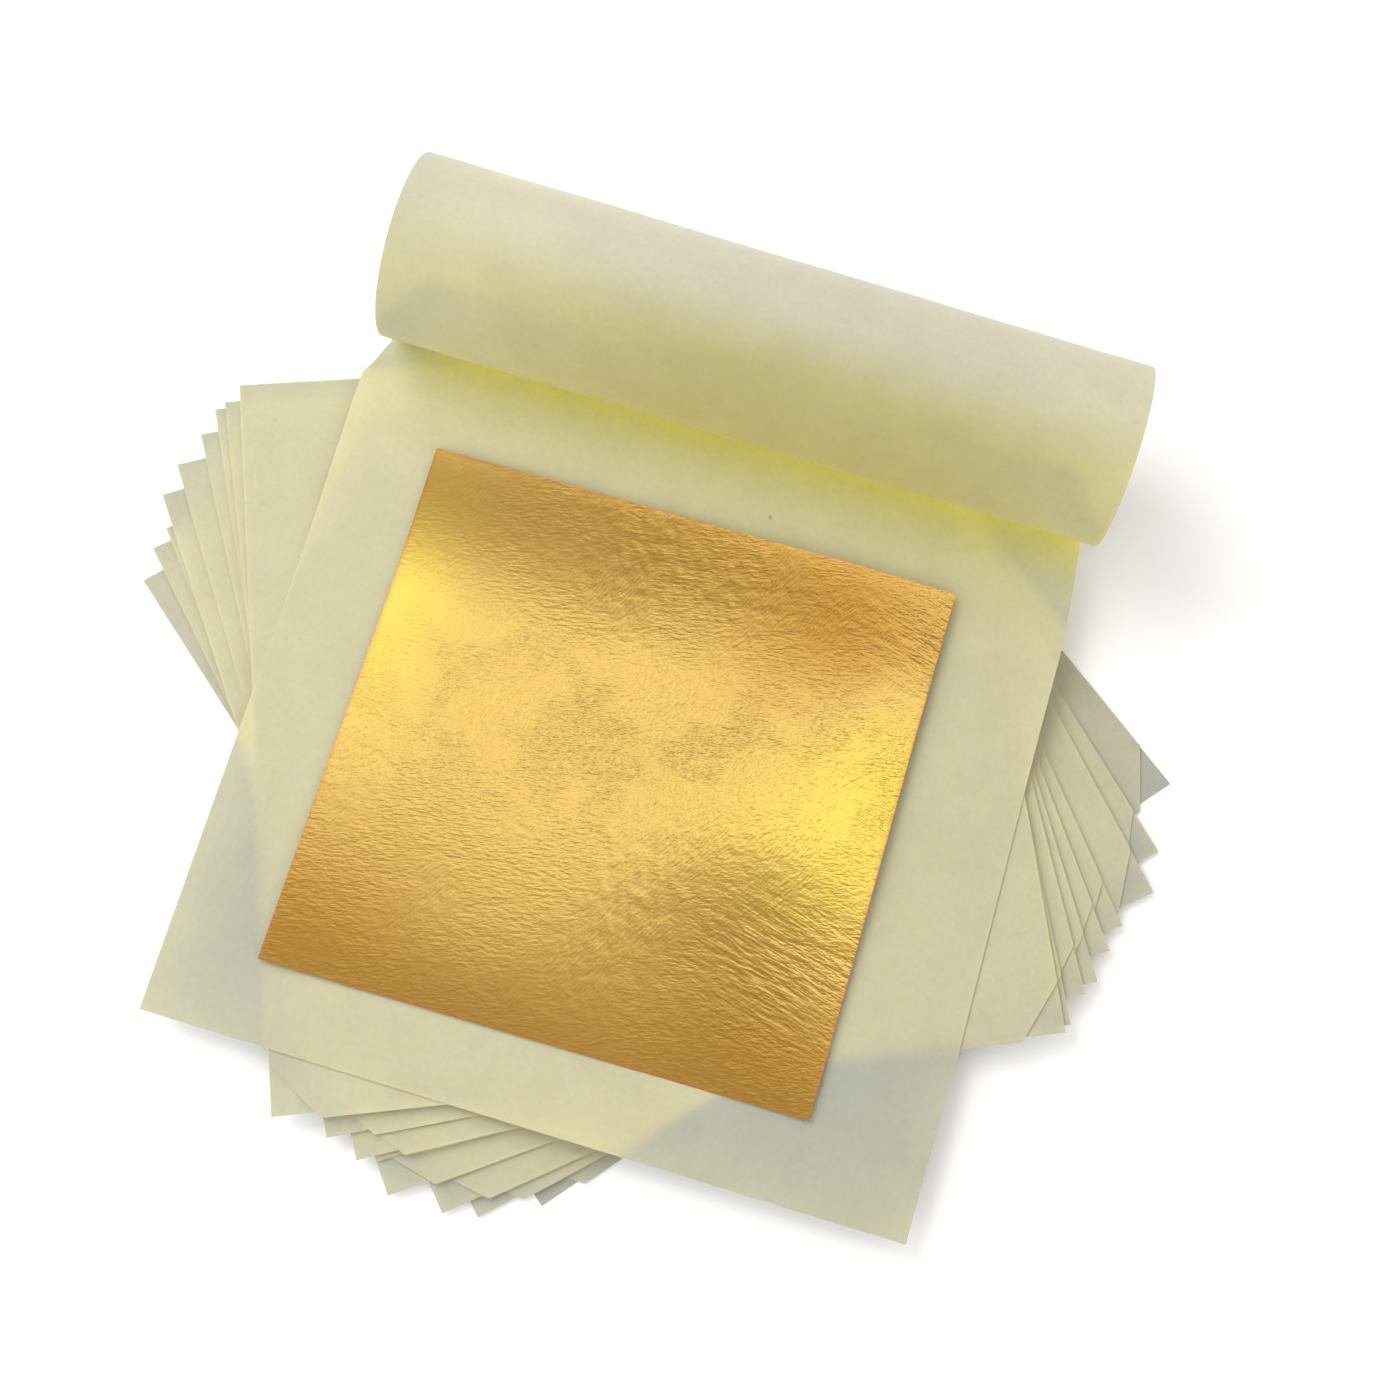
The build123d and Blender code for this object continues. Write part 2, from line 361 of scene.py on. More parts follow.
def curled_sheet_tree():
    """A sheet that leaves the fold straight and then winds up, tighter and tighter. The axis of
    its winding is the X axis."""
    tree, given = new_tree(
        "curled_sheet",
        {
            "Width": "Float",
            "Straight length": "Float",
            "Wound length": "Float",
            "Radius": "Float",
            "Tightening": "Float",
            "Touch angle": "Float",
            "Clip along side": "Float",
            "Clip along edge": "Float",
            "Unevenness": "Float",
            "Fuller left": "Float",
            "Points across": "Int",
            "Points along": "Int",
        },
    )
    start, touch, clip, end = CURLED_ROW_SHARES
    grid = add_node(
        tree,
        "GeometryNodeMeshGrid",
        {"Vertices X": given["Points across"], "Vertices Y": given["Points along"]},
    )
    share = add_node(tree, "ShaderNodeSeparateXYZ", {0: grid.outputs["UV Map"]})
    across, row = share.outputs["X"], share.outputs["Y"]

    # Down the straight root to where it touches the roll, and along the winding
    straight, radius, angle = given["Straight length"], given["Radius"], given["Touch angle"]
    side, edge = given["Clip along side"], given["Clip along edge"]
    before = add_node(
        tree, "ShaderNodeMapRange", {0: row, 1: start, 2: touch, 3: straight, 4: 0.0}
    )
    whole = add_node(
        tree, "ShaderNodeMath", {0: given["Wound length"], 1: side}, operation="SUBTRACT"
    )
    first = add_node(tree, "ShaderNodeMapRange", {0: row, 1: touch, 2: clip, 3: 0.0, 4: whole})
    last = add_node(tree, "ShaderNodeMapRange", {0: row, 1: clip, 2: end, 3: 0.0, 4: side})
    clipped = add_node(tree, "ShaderNodeMapRange", {0: row, 1: clip, 2: end, 3: 0.0, 4: edge})
    wound = add_node(tree, "ShaderNodeMath", {0: first, 1: last}, operation="ADD")

    # A radius that falls evenly with the angle falls with the root of the length
    square = add_node(tree, "ShaderNodeMath", {0: radius, 1: 2.0}, operation="POWER")
    double = add_node(
        tree, "ShaderNodeMath", {0: given["Tightening"], 1: -2.0}, operation="MULTIPLY"
    )
    inside = add_node(
        tree, "ShaderNodeMath", {0: double, 1: wound, 2: square}, operation="MULTIPLY_ADD"
    )
    even = add_node(tree, "ShaderNodeMath", {0: inside}, operation="SQRT")
    drawn_in = add_node(tree, "ShaderNodeMath", {0: radius, 1: even}, operation="SUBTRACT")
    turned = add_node(
        tree, "ShaderNodeMath", {0: drawn_in, 1: given["Tightening"]}, operation="DIVIDE"
    )
    direction = add_node(tree, "ShaderNodeMath", {0: angle, 1: turned}, operation="SUBTRACT")

    # It isn't quite round, more so the further it is from its root, and fuller on the left
    swells_across = 5.0
    off_root_turn = 0.3
    noise = add_node(
        tree,
        "ShaderNodeTexNoise",
        {"Vector": grid.outputs["UV Map"], "Scale": swells_across, "Detail": 1.0},
    )
    swell = add_node(tree, "ShaderNodeMath", {0: noise, 1: 0.5}, operation="SUBTRACT")
    grown = add_node(tree, "ShaderNodeMath", {0: turned, 1: 1.0}, operation="MINIMUM")
    most = add_node(
        tree, "ShaderNodeMath", {0: grown, 1: given["Unevenness"]}, operation="MULTIPLY"
    )
    uneven = add_node(
        tree, "ShaderNodeMath", {0: swell, 1: most, 2: even}, operation="MULTIPLY_ADD"
    )
    off_root = add_node(
        tree, "ShaderNodeMapRange", {0: turned, 1: 0.0, 2: off_root_turn, 3: 0.0, 4: 1.0}
    )
    near_left = add_node(
        tree, "ShaderNodeMapRange", {0: across, 1: 0.0, 2: 1.0, 3: off_root, 4: 0.0}
    )
    uneven = add_node(
        tree,
        "ShaderNodeMath",
        {0: near_left, 1: given["Fuller left"], 2: uneven},
        operation="MULTIPLY_ADD",
    )

    cosine = add_node(tree, "ShaderNodeMath", {0: direction}, operation="COSINE")
    sine = add_node(tree, "ShaderNodeMath", {0: direction}, operation="SINE")
    outwards = add_node(tree, "ShaderNodeCombineXYZ", {0: 0.0, 1: cosine, 2: sine})
    on_roll = add_node(
        tree, "ShaderNodeVectorMath", {0: outwards, "Scale": uneven}, operation="SCALE"
    )
    touch_cosine = add_node(tree, "ShaderNodeMath", {0: angle}, operation="COSINE")
    touch_sine = add_node(tree, "ShaderNodeMath", {0: angle}, operation="SINE")
    sideways = add_node(tree, "ShaderNodeMath", {0: touch_sine, 1: -1.0}, operation="MULTIPLY")
    lead = add_node(tree, "ShaderNodeCombineXYZ", {0: 0.0, 1: sideways, 2: touch_cosine})
    led = add_node(tree, "ShaderNodeVectorMath", {0: lead, "Scale": before}, operation="SCALE")
    section = add_node(tree, "ShaderNodeVectorMath", {0: on_roll, 1: led}, operation="ADD")
    x = across_the_sheet(tree, across, clipped, given["Width"])
    along_axis = add_node(tree, "ShaderNodeCombineXYZ", {0: x, 1: 0.0, 2: 0.0})
    position = add_node(
        tree, "ShaderNodeVectorMath", {0: section, 1: along_axis}, operation="ADD"
    )
    close_tree(tree, grid, position, given["Material"])
    return tree


def thick_piece(piece, thickness):
    """Gives a sheet its thickness and leaves it a plain mesh."""
    wall = piece.modifiers.new("wall", "SOLIDIFY")
    wall.thickness = thickness
    wall.offset = 0
    depsgraph = bpy.context.evaluated_depsgraph_get()
    mesh = bpy.data.meshes.new_from_object(piece.evaluated_get(depsgraph))
    piece.modifiers.clear()
    mesh.name = piece.name
    mesh.shade_smooth()
    mesh.set_sharp_from_angle(angle=SHARP_EDGE)
    piece.data = mesh
    return piece


def new_piece(name, mesh):
    """An object for this mesh, in the scene."""
    piece = bpy.data.objects.new(name, mesh)
    bpy.context.scene.collection.objects.link(piece)
    return piece


def grow(name, tree, values, thickness):
    """A sheet made by a tree with these inputs."""
    piece = new_piece(name, bpy.data.meshes.new(name))
    modifier = piece.modifiers.new(tree.name, "NODES")
    modifier.node_group = tree
    for socket in tree.interface.items_tree:
        if socket.in_out == "INPUT":
            modifier[socket.identifier] = values[socket.name]
    return thick_piece(piece, thickness)


# Materials


def new_material(name, finish):
    """A material of this finish. Returns it with its node tree and Principled shader."""
    material = bpy.data.materials.new(name)
    material.use_nodes = True
    tree = material.node_tree
    shader = tree.nodes["Principled BSDF"]
    for socket, value in finish.items():
        shader.inputs[socket].default_value = value
    return material, tree, shader


def tissue_material():
    """Unbleached tissue, calendered: soft and matt, with a cloudy make-up of the fibres and a few
    bark flecks. Its tones are painted light and shade: cream in depth, greyer painted shade where
    one layer lies alone, whiter painted light on the curl, deeper where the curl lies over its
    own winding with painted shade there, and a painted glow and painted bounce light beside the
    fold."""
    cloud_mm = 7.0
    cloud_shades = (0.965, 1.035)
    fibre_mm = 0.9
    fibre_shades = (0.97, 1.03)
    usual_noise = (0.3, 0.7)
    fibre_relief_mm = 0.03
    fibre_strength = 0.25
    fleck_spacing_mm = 9.0
    fleck_radius_shares = (0.02, 0.05)
    fleck_chances = (0.55, 1.0)
    fleck_strength = 0.8
    valley_sharpness = 3.0
    finish = {
        "Roughness": 0.65,
        "Specular IOR Level": 0.3,
        "Subsurface Weight": 0.7,
        "Subsurface Radius": (1.0, 0.9, 0.5),
        "Subsurface Scale": 0.4 * MM,
        # painted glow beside the fold, which is no lamp
        "Emission Color": linear(TISSUE_PAINTED_GLOW),
    }
    material, tree, shader = new_material("calendered_tissue", finish)
    place = add_node(tree, "ShaderNodeTexCoord").outputs["Object"]

    # Tones that are marked on the piece, one over the other: painted light and shade
    toned = linear(TISSUE_SINGLE)
    # The tone starts as the lone layer's grey, painted shade where light is lost through one layer
    for name, tone in (
        ("layers_below", TISSUE_BACKED),
        ("curled", TISSUE_CURL_LIT),
        ("doubled_and_shade", TISSUE_WINDING_SHADE),
        ("valley", TISSUE_PAINTED_BOUNCE),
    ):
        mark = add_node(tree, "ShaderNodeAttribute", attribute_name=name).outputs["Fac"]
        # Painted glow and painted bounce light beside the fold
        if name == "valley":
            glow = add_node(
                tree, "ShaderNodeMath", {0: mark, 1: PAINTED_VALLEY_GLOW}, operation="MULTIPLY"
            )
            tree.links.new(glow.outputs[0], shader.inputs["Emission Strength"])
            mark = add_node(
                tree, "ShaderNodeMath", {0: mark, 1: valley_sharpness}, operation="POWER"
            )
        mixed = add_node(
            tree,
            "ShaderNodeMix",
            {"Factor": mark, "A": toned, "B": linear(tone)},
            data_type="RGBA",
        )
        toned = mixed.outputs["Result"]

    # Clouds and fibres shade it
    low, high = usual_noise
    grains = []
    shades = []
    for grain_mm, detail, (dark, light) in (
        (cloud_mm, 3.0, cloud_shades),
        (fibre_mm, 4.0, fibre_shades),
    ):
        grain = add_node(
            tree,
            "ShaderNodeTexNoise",
            {"Vector": place, "Scale": 1 / (grain_mm * MM), "Detail": detail},
        )
        shade = add_node(
            tree, "ShaderNodeMapRange", {0: grain, 1: low, 2: high, 3: dark, 4: light}
        )
        grains.append(grain)
        shades.append(shade)
    shade = add_node(tree, "ShaderNodeMath", {0: shades[0], 1: shades[1]}, operation="MULTIPLY")
    shaded = add_node(
        tree, "ShaderNodeVectorMath", {0: toned, "Scale": shade}, operation="SCALE"
    )

    # A fleck in some of the cells
    cells = add_node(
        tree, "ShaderNodeTexVoronoi", {"Vector": place, "Scale": 1 / (fleck_spacing_mm * MM)}
    )
    full, faded = fleck_radius_shares
    speck = add_node(
        tree,
        "ShaderNodeMapRange",
        {0: cells.outputs["Distance"], 1: full, 2: faded, 3: 1.0, 4: 0.0},
    )
    chance = add_node(tree, "ShaderNodeSeparateColor", {0: cells.outputs["Color"]})
    least, most = fleck_chances
    kept = add_node(
        tree, "ShaderNodeMapRange", {0: chance, 1: least, 2: most, 3: 0.0, 4: fleck_strength}
    )
    fleck = add_node(tree, "ShaderNodeMath", {0: speck, 1: kept}, operation="MULTIPLY")
    flecked = add_node(
        tree,
        "ShaderNodeMix",
        {"Factor": fleck, "A": shaded, "B": linear(TISSUE_FLECK)},
        data_type="RGBA",
    )
    tree.links.new(flecked.outputs["Result"], shader.inputs["Base Color"])
    bump = add_node(
        tree,
        "ShaderNodeBump",
        {"Height": grains[1], "Strength": fibre_strength, "Distance": fibre_relief_mm * MM},
    )
    tree.links.new(bump.outputs["Normal"], shader.inputs["Normal"])
    return material


def laid_noise(tree, place, turn, width, length):
    """Noise in strokes of that width and that many times as long, turned from the X axis."""
    laid = add_node(
        tree,
        "ShaderNodeMapping",
        {"Vector": place, "Rotation": (0.0, 0.0, turn), "Scale": (length * width, width, 1.0)},
        vector_type="TEXTURE",
    )
    return add_node(tree, "ShaderNodeTexNoise", {"Vector": laid, "Scale": 1.0, "Detail": 2.0})


def gold_material():
    """Beaten gold-coloured leaf: a bright metal film that takes every wrinkle, so that it breaks
    up what it mirrors into short strokes. Painted reflection makes it paler and deeper in broad
    zones; it is redder at its cut edges."""
    stroke_mm = 0.45
    stroke_length = 2.6
    stroke_turns = (math.radians(12), math.radians(68))
    crease_mm = 1.1
    crease_length = 5.0
    crease_turn = math.radians(-14)
    crease_share = -4.0  # sunk, and this many times as deep as the strokes
    relief_mm = 0.06
    patch_mm = 9.0
    patch_noise = (0.45, 0.65)
    finish = {"Roughness": 0.20, "Metallic": 1.0}
    material, tree, shader = new_material("beaten_leaf", finish)
    place = add_node(tree, "ShaderNodeTexCoord").outputs["Object"]
    depth, rim, crinkled, creased = (
        add_node(tree, "ShaderNodeAttribute", attribute_name=name).outputs["Fac"]
        for name in ("painted_reflection", "rim", "crinkled", "creased")
    )
    # Painted reflection: paler and deeper zones over the warm colour, then the redder rim
    pale = add_node(tree, "ShaderNodeMapRange", {0: depth, 1: 0.0, 2: 1.0, 3: 0.0, 4: 1.0})
    deep = add_node(tree, "ShaderNodeMapRange", {0: depth, 1: 0.0, 2: -1.0, 3: 0.0, 4: 1.0})
    colour = linear(GOLD_WARM)
    for share, tone in ((pale, GOLD_REFLECTED_BRIGHT), (deep, GOLD_REFLECTED_DARK), (rim, GOLD_RIM)):
        mixed = add_node(
            tree,
            "ShaderNodeMix",
            {"Factor": share, "A": colour, "B": linear(tone)},
            data_type="RGBA",
        )
        colour = mixed.outputs["Result"]
    tree.links.new(colour, shader.inputs["Base Color"])

    # Strokes that lie one way in some patches and the other way in others, and long creases
    strokes = [
        laid_noise(tree, place, turn, stroke_mm * MM, stroke_length) for turn in stroke_turns
    ]
    noise = laid_noise(tree, place, crease_turn, crease_mm * MM, crease_length)
    centred = add_node(tree, "ShaderNodeMath", {0: noise, 1: 0.5}, operation="SUBTRACT")
    folded = add_node(tree, "ShaderNodeMath", {0: centred}, operation="ABSOLUTE")
    creases = add_node(tree, "ShaderNodeMath", {0: folded, 1: creased}, operation="MULTIPLY")
    patches = add_node(
        tree,
        "ShaderNodeTexNoise",
        {"Vector": place, "Scale": 1 / (patch_mm * MM), "Detail": 1.0},
    )
    low, high = patch_noise
    one_way = add_node(
        tree, "ShaderNodeMapRange", {0: patches, 1: low, 2: high, 3: 0.0, 4: 1.0}
    )
    stroked = add_node(
        tree,
        "ShaderNodeMix",
        {"Factor": one_way, "A": strokes[0].outputs[0], "B": strokes[1].outputs[0]},
    )
    height = add_node(
        tree,
        "ShaderNodeMath",
        {0: creases, 1: crease_share, 2: stroked},
        operation="MULTIPLY_ADD",
    )
    wrinkled = add_node(
        tree,
        "ShaderNodeBump",
        {"Height": height, "Strength": crinkled, "Distance": relief_mm * MM},
    )
    tree.links.new(wrinkled.outputs["Normal"], shader.inputs["Normal"])
    return material


def floor_material():
    """Plain matt white board."""
    return new_material("plain_floor", {"Base Color": linear(FLOOR_WHITE), "Roughness": 0.9})[0]


# Tones that follow a piece's place: painted light and shade


def points_of(piece):
    """The points of a piece, a row for each."""
    points = np.empty(len(piece.data.vertices) * 3)
    piece.data.vertices.foreach_get("co", points)
    return points.reshape(-1, 3)


def store(piece, name, values):
    """Stores a number on each point of a piece for its material."""
    if name not in piece.data.attributes:
        piece.data.attributes.new(name, "FLOAT", "POINT")
    piece.data.attributes[name].data.foreach_set("value", values)


def depth_inside(points, corners):
    """How far each point lies inside a convex outline that runs anticlockwise."""
    depth = np.full(len(points), np.inf)
    for (x0, y0), (x1, y1) in zip(corners, corners[1:] + corners[:1]):
        side = (x1 - x0) * (points[:, 1] - y0) - (y1 - y0) * (points[:, 0] - x0)
        depth = np.minimum(depth, side / math.hypot(x1 - x0, y1 - y0))
    return depth


def layer_outlines():
    """Every tissue layer as its height and its corners."""
    layers = [(TOP_LEVEL, corners_at("top_tissue_base", TOP_LEVEL))]
    for node in closed:
        low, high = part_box(node)
        layers.append((high.z - PAPER, corners_at(node, high.z)))
        layers.append((low.z, corners_at(node, low.z)))
    return layers


def mark_tones(piece, layers):
    """Stores how the layers below lift a tissue's tone out of the lone layer's painted shade, and
    how much of the valley's painted glow and painted bounce light it has: most beside the fold,
    less at the open left end."""
    clear_of_layer = 1.01 * PAPER
    blur = 1.5 * MM
    kept_by_layer = 0.5  # share of the single layer's painted shade that each layer below leaves
    valley_reach = 28 * MM
    valley_fall = 1.5
    hidden_reach = 4 * MM
    end_reach = 6 * MM
    lost_at_end = 0.5
    points = points_of(piece)
    count = np.zeros(len(points))
    for level, corners in layers:
        below = points[:, 2] > level + clear_of_layer
        count += below * np.clip(0.5 + depth_inside(points, corners) / blur, 0, 1)
    store(piece, "layers_below", 1 - kept_by_layer**count)
    # Painted glow and bounce light: strongest beside the fold and facing it, weaker at the open
    # left end
    from_fold = np.hypot(points[:, 1] - FOLD_Y, points[:, 2] - TOP_LEVEL)
    facing = np.clip(1 - (points[:, 1] - FOLD_Y) / hidden_reach, 0, 1)
    from_end = points[:, 0] + WIDTH / 2
    kept = 1 - lost_at_end * np.exp(-((from_end / end_reach) ** 2))
    near = np.clip(1 - from_fold / valley_reach, 0, 1) ** valley_fall
    store(piece, "valley", facing * kept * near)


# Pieces


def closed_tissues(tissue, gold, layers):
    """The nine closed tissues. The leaves inside them stay as the frame has them."""
    tree = folded_sheet_tree()
    for node in closed:
        packet = node.replace("tissue", "packet")
        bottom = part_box(node)[0].z
        place = place_of(node)
        own = [place.inverted() @ Vector((*c, bottom)) for c in corners_at(node, bottom)]
        free_left = min(own, key=lambda p: p.x + p.y)
        fold_right = max(own, key=lambda p: p.x + p.y)
        values = {
            "Width": WIDTH,
            "Lower length": LENGTH,
            "Upper length": LENGTH + UPPER_OVERHANG,
            "Fold radius": LAYER_RISE / 2,
            "Clip along side": CLIP_ALONG_SIDE,
            "Clip along edge": CLIP_ALONG_EDGE,
            "Free corner cut": Vector((free_left.x + WIDTH / 2, free_left.y + LENGTH / 2, 0)),
            "Fold corner cut": Vector((fold_right.x - WIDTH / 2, fold_right.y - LENGTH / 2, 0))
            - FOLD_CORNER_EASE,
            "Points across": CLOSED_POINTS[0],
            "Points along": CLOSED_POINTS[1],
            "Material": tissue,
        }
        piece = grow(f"closed_{node}", tree, values, PAPER)
        piece.data.transform(place @ Matrix.Translation((0, 0, PAPER / 2)))
        mark_tones(piece, layers)
        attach(piece, packet)
        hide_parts(node)
        leaf = frame["nodes"][node.replace("tissue", "gold_leaf")]
        leaf.data.materials.clear()
        leaf.data.materials.append(gold)


def curled_flap(tissue):
    """The top tissue's upper layer, curled back past the fold."""
    axis = Vector((0, FOLD_Y + ROLL_SETBACK, TOP_LEVEL + ROLL_RADIUS))
    drop = ROLL_RADIUS - PAPER
    from_axis = math.hypot(ROLL_SETBACK, drop)
    straight = math.sqrt(from_axis**2 - ROLL_RADIUS**2)
    values = {
        "Width": WIDTH,
        "Straight length": straight,
        "Wound length": LENGTH + UPPER_OVERHANG - straight,
        "Radius": ROLL_RADIUS - PAPER / 2,
        "Tightening": WINDING_STEP / QUARTER_TURN,
        "Touch angle": math.atan2(-drop, -ROLL_SETBACK) - math.acos(ROLL_RADIUS / from_axis),
        "Clip along side": CLIP_ALONG_SIDE,
        "Clip along edge": CLIP_ALONG_EDGE,
        "Unevenness": ROLL_UNEVENNESS,
        "Fuller left": FULLER_LEFT,
        "Points across": CURLED_POINTS[0],
        "Points along": CURLED_POINTS[1],
        "Material": tissue,
    }
    piece = grow("curled_flap", curled_sheet_tree(), values, PAPER)
    piece.data.transform(Matrix.Translation(axis + Vector((ROLL_SHIFT, 0, 0))))
    mark_tones(piece, [])
    mark_winding(piece, axis)
    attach(piece, "curled_flap")
    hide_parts("top_tissue_flap")


def mark_winding(piece, axis):
    """Stores where the curl lies over its own winding, with painted shade on the roll's lower side
    that is deepest just right of its middle, and its painted light, dimmed by painted shade at
    its open left end. Angles are in degrees round its axis from +Y."""
    free_edge_left = 108
    free_edge_rise = 4
    blur = 55
    underneath = 270
    deepest = 1.05
    deepest_share = 0.58
    fall_to_ends = 2.2
    lost_at_end = 0.8
    end_reach_share = 0.08
    points = points_of(piece) - axis
    angle = np.degrees(np.arctan2(points[:, 2], points[:, 1])) % 360
    share = points[:, 0] / WIDTH + 0.5
    past_edge = angle - free_edge_left - free_edge_rise * share
    inside = smooth_step(np.clip(past_edge / blur + 0.5, 0, 1))
    # Painted shade, deepest just right of the middle and fading towards the ends
    depth = deepest - fall_to_ends * (share - deepest_share) ** 2
    store(piece, "doubled_and_shade", (angle < underneath) * depth * inside)
    # Painted light on the curl, dimmed to painted shade at its open left end
    store(piece, "curled", 1 - lost_at_end * np.exp(-((share / end_reach_share) ** 2)))


def sheet_points(corners, count):
    """Points across a four-cornered sheet: their shares along its two sides, and X and Y."""
    share = np.linspace(0, 1, count)
    across, along = np.meshgrid(share, share)
    lower_left, lower_right, upper_right, upper_left = np.array(corners)[:, None, None]
    lower = lower_left + (lower_right - lower_left) * across[..., None]
    upper = upper_left + (upper_right - upper_left) * across[..., None]
    x, y = np.moveaxis(lower + (upper - lower) * along[..., None], -1, 0)
    return across, along, x, y


def sheet_piece(name, x, y, z, thickness, material):
    """A thick sheet through a square grid of points."""
    rows, columns = x.shape
    first = (np.arange(rows - 1)[:, None] * columns + np.arange(columns - 1)).ravel()
    faces = np.stack([first, first + 1, first + columns + 1, first + columns], axis=1)
    mesh = bpy.data.meshes.new(name)
    mesh.from_pydata(np.stack([x, y, z], axis=-1).reshape(-1, 3), [], faces.tolist())
    mesh.materials.append(material)
    return thick_piece(new_piece(name, mesh), thickness)


def lift(x, y):
    """How far the top sheet stands off the pile on its way to the fold."""
    from_fold = np.clip((FOLD_Y - y) / LIFT_REACH, 0, 1)
    height = LIFT_LEFT + (LIFT_RIGHT - LIFT_LEFT) * (x / WIDTH + 0.5)
    return height * np.sin(math.pi * np.sqrt(from_fold)) ** 2


def outstanding(edge, y):
    """How far a side edge stands out past a straight one."""
    from_fold, out = np.array(edge).T * MM
    return np.interp(FOLD_Y - y, from_fold, out)


def top_sheet(tissue, layers):
    """The top tissue's lower layer, which rises a little towards the fold."""
    corners = corners_at("top_tissue_base", TOP_LEVEL)
    across, _, x, y = sheet_points(corners, TOP_SHEET_POINTS)
    z = TOP_LEVEL + PAPER / 2 + lift(x, y)
    x = x - (1 - across) * outstanding(LEFT_EDGE, y) + across * outstanding(RIGHT_EDGE, y)
    piece = sheet_piece("top_sheet", x, y, z, PAPER, tissue)
    mark_tones(piece, layers[1:])
    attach(piece, "top_packet")
    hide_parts("top_tissue_base")


def soft_noise(x, y, size, angle, stretch, seed):
    """Smooth random heights from -1 to 1, with bumps that wide and stretched that many times
    along a direction in degrees."""
    turn = math.radians(angle)
    along = (x * math.cos(turn) + y * math.sin(turn)) / (size * stretch)
    across = (y * math.cos(turn) - x * math.sin(turn)) / size
    count = 256
    lattice = np.random.default_rng(seed).uniform(-1, 1, (count, count))
    column, row = np.floor(along).astype(int), np.floor(across).astype(int)
    u, v = smooth_step(along - column), smooth_step(across - row)
    corner = [
        [lattice[(row + i) % count, (column + j) % count] for j in (0, 1)] for i in (0, 1)
    ]
    lower = corner[0][0] + (corner[0][1] - corner[0][0]) * u
    upper = corner[1][0] + (corner[1][1] - corner[1][0]) * u
    return lower + (upper - lower) * v


def zone(across, along, middle, reach):
    """1 in the middle of a place on the leaf, falling away to 0 around it."""
    return np.exp(
        -(((across - middle[0]) / reach[0]) ** 2) - ((along - middle[1]) / reach[1]) ** 2
    )


def zones(across, along, places):
    """The same for a list of places."""
    return np.clip(sum(zone(across, along, *place) for place in places), 0, 1)


def leaf_relief(across, along, x, y):
    """Height of the leaf over the sheet: slow swells, a crinkle all over and local creases."""
    lost_where_smooth = 0.7
    crease_width = 0.9 * MM
    first_seed = 20
    height, width, *laid = LEAF_WAVE
    relief = height * MM * soft_noise(x, y, width * MM, *laid)
    for middle_u, middle_v, reach_u, reach_v, slope in LEAF_SWELLS:
        beside = np.exp(-(((across - middle_u) / reach_u) ** 2))
        climbed = np.tanh((along - middle_v) / reach_v) * reach_v * (leaf_high.y - leaf_low.y)
        relief = relief + math.tan(math.radians(slope)) * climbed * beside
    crinkle = sum(
        height * MM * soft_noise(x, y, width * MM, *laid) for height, width, *laid in LEAF_CRINKLES
    )
    relief = relief + crinkle * (1 - lost_where_smooth * zones(across, along, LEAF_SMOOTH))
    for seed, (middle, reach, angle, stretch, height) in enumerate(LEAF_CREASES, first_seed):
        noise = soft_noise(x, y, crease_width, angle, stretch, seed)
        ridges = 1 - 2 * np.abs(noise)
        relief = relief + height * MM * ridges * zone(across, along, middle, reach)
    return relief - relief.min()


def bare_leaf(gold):
    """The leaf on the top sheet: it rises with the sheet and has wrinkles of its own."""
    rim_width = 0.5 * MM
    rim_strength = 0.8
    crinkled_least = 0.55
    crinkled_lit = 0.45
    lost_where_smooth = 0.65
    corners = corners_at("top_gold_leaf", leaf_low.z)
    across, along, x, y = sheet_points(corners, LEAF_POINTS)
    z = TOP_LEVEL + PAPER + LEAF_THICKNESS + lift(x, y) + leaf_relief(across, along, x, y)
    piece = sheet_piece("bare_leaf", x, y, z, LEAF_THICKNESS, gold)
    points = points_of(piece)
    from_edge = depth_inside(points, corners)
    store(piece, "rim", rim_strength * np.clip(1 - from_edge / rim_width, 0, 1))
    # Painted reflection: bright and dark zones of the leaf's colour
    low, high = np.array(leaf_low)[:2], np.array(leaf_high)[:2]
    shares = np.clip((points[:, :2] - low) / (high - low), 0, 1).T
    painted_reflection = sum(
        amount * zone(*shares, (u, v), (wide, high)) for u, v, wide, high, amount in GOLD_REFLECTION_ZONES
    )
    store(piece, "painted_reflection", np.clip(painted_reflection, -1, 1))
    crinkled = crinkled_least + crinkled_lit * zones(*shares, LEAF_LIT)
    crinkled *= 1 - lost_where_smooth * zones(*shares, LEAF_SMOOTH)
    store(piece, "crinkled", np.clip(crinkled, 0, 1))
    store(piece, "creased", zones(*shares, LEAF_LONG_CREASES))
    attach(piece, "bare_leaf")
    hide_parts("top_gold_leaf")


# Floor, light and camera


def floor():
    """The white board that the pile lies on."""
    bpy.ops.mesh.primitive_plane_add(size=FLOOR_SIDE, location=(0, 0, 0))
    board = bpy.context.object
    board.name = "floor"
    board.data.materials.append(floor_material())


def soft_light(name, place, power):
    """A square studio softbox that points at the pile."""
    lamp = bpy.data.lights.new(name, "AREA")
    lamp.size = SOFTBOX_SIDE
    lamp.energy = power
    light = bpy.data.objects.new(name, lamp)
    bpy.context.scene.collection.objects.link(light)
    light.location = place
    light.rotation_euler = (-place).to_track_quat("-Z", "Y").to_euler()


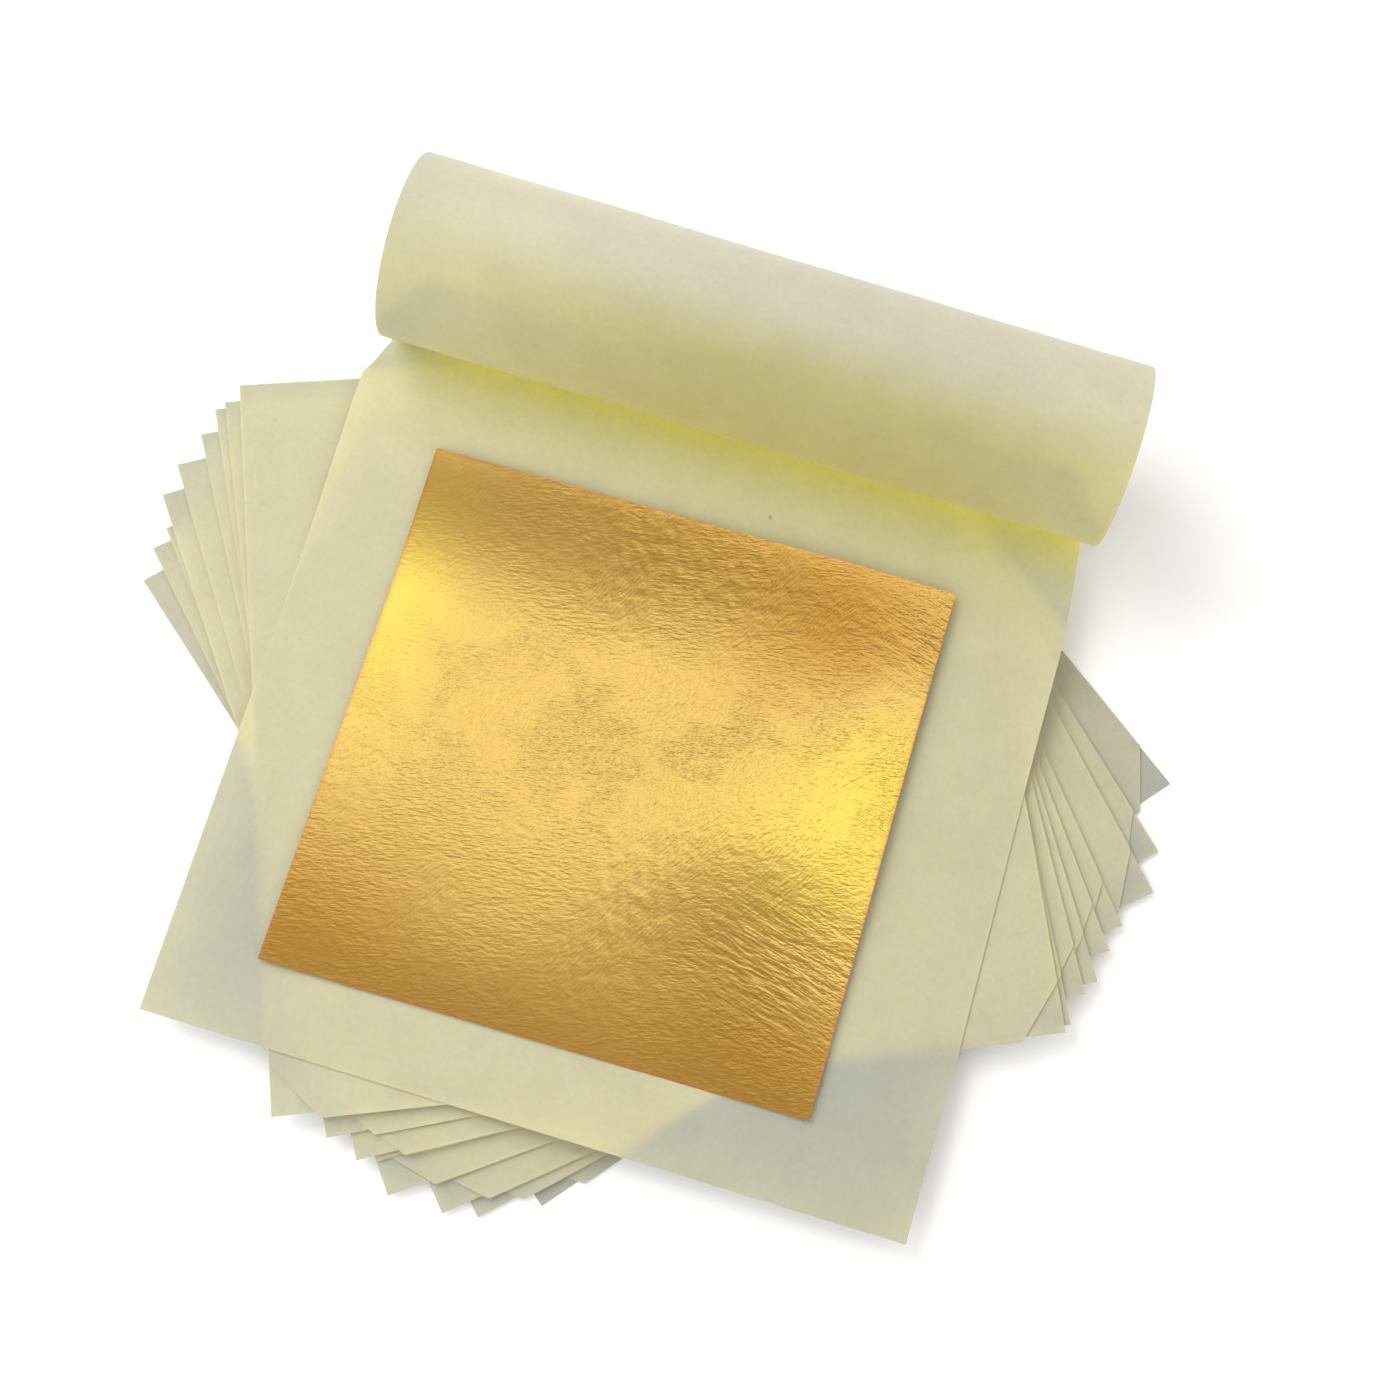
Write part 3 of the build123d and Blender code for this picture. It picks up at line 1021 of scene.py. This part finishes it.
def bright_strip(tree, share):
    """How bright the strip is in a direction: full in its middle, faded at its edges."""
    strip = STRIP_STRENGTH
    for axis, middle, full, reach in (("Y", *STRIP_BACK), ("X", *STRIP_SIDE)):
        slope = add_node(
            tree,
            "ShaderNodeMath",
            {0: share.outputs[axis], 1: share.outputs["Z"]},
            operation="DIVIDE",
        )
        off = add_node(tree, "ShaderNodeMath", {0: slope, 1: middle}, operation="SUBTRACT")
        distance = add_node(tree, "ShaderNodeMath", {0: off}, operation="ABSOLUTE")
        inside = add_node(
            tree,
            "ShaderNodeMapRange",
            {0: distance, 1: full, 2: reach, 3: 1.0, 4: 0.0},
            interpolation_type="SMOOTHSTEP",
        )
        strip = add_node(tree, "ShaderNodeMath", {0: strip, 1: inside}, operation="MULTIPLY")
    return strip


def studio():
    """A pale room with a dimmer patch above and behind, and across it the long bright strip
    that the leaf mirrors. Two weak softboxes shape the roll."""
    world = bpy.data.worlds.new("studio")
    bpy.context.scene.world = world
    world.use_nodes = True
    tree = world.node_tree
    sky = tree.nodes["Background"]
    direction = add_node(tree, "ShaderNodeTexCoord").outputs["Generated"]
    towards = add_node(
        tree, "ShaderNodeVectorMath", {0: direction, 1: PATCH_DIRECTION}, operation="DOT_PRODUCT"
    )
    begins, full = PATCH_COSINES
    in_patch = add_node(
        tree,
        "ShaderNodeMapRange",
        {0: towards.outputs["Value"], 1: begins, 2: full, 3: 0.0, 4: 1.0},
        interpolation_type="SMOOTHSTEP",
    )
    room = add_node(
        tree,
        "ShaderNodeMix",
        {
            "Factor": in_patch,
            "A": [ROOM_STRENGTH * c for c in linear(ROOM_COLOUR)],
            "B": [PATCH_STRENGTH * c for c in linear(PATCH_COLOUR)],
        },
        data_type="RGBA",
    )
    share = add_node(tree, "ShaderNodeSeparateXYZ", {0: direction})
    strip = bright_strip(tree, share)
    light = add_node(
        tree, "ShaderNodeVectorMath", {0: room.outputs["Result"], 1: strip}, operation="ADD"
    )
    tree.links.new(light.outputs[0], sky.inputs["Color"])
    soft_light("key", KEY_PLACE, KEY_POWER)
    soft_light("front", FRONT_PLACE, FRONT_POWER)


def camera():
    """The photograph's camera."""
    data = bpy.data.cameras.new("camera")
    data.sensor_width = SENSOR_WIDTH_MM
    data.lens = SENSOR_WIDTH_MM * FOCAL_PX / IMAGE_SIDE_PX
    data.clip_start = NEAREST_SEEN
    eye = bpy.data.objects.new("camera", data)
    bpy.context.scene.collection.objects.link(eye)
    turn = Matrix((CAMERA_RIGHT, CAMERA_BACK.cross(CAMERA_RIGHT), CAMERA_BACK)).transposed()
    eye.matrix_world = Matrix.Translation(CAMERA_PLACE) @ turn.to_4x4()
    bpy.context.scene.camera = eye


tissue = tissue_material()
gold = gold_material()
layers = layer_outlines()
closed_tissues(tissue, gold, layers)
curled_flap(tissue)
top_sheet(tissue, layers)
bare_leaf(gold)
floor()
studio()
camera()
bpy.context.scene.view_settings.view_transform = "Standard"
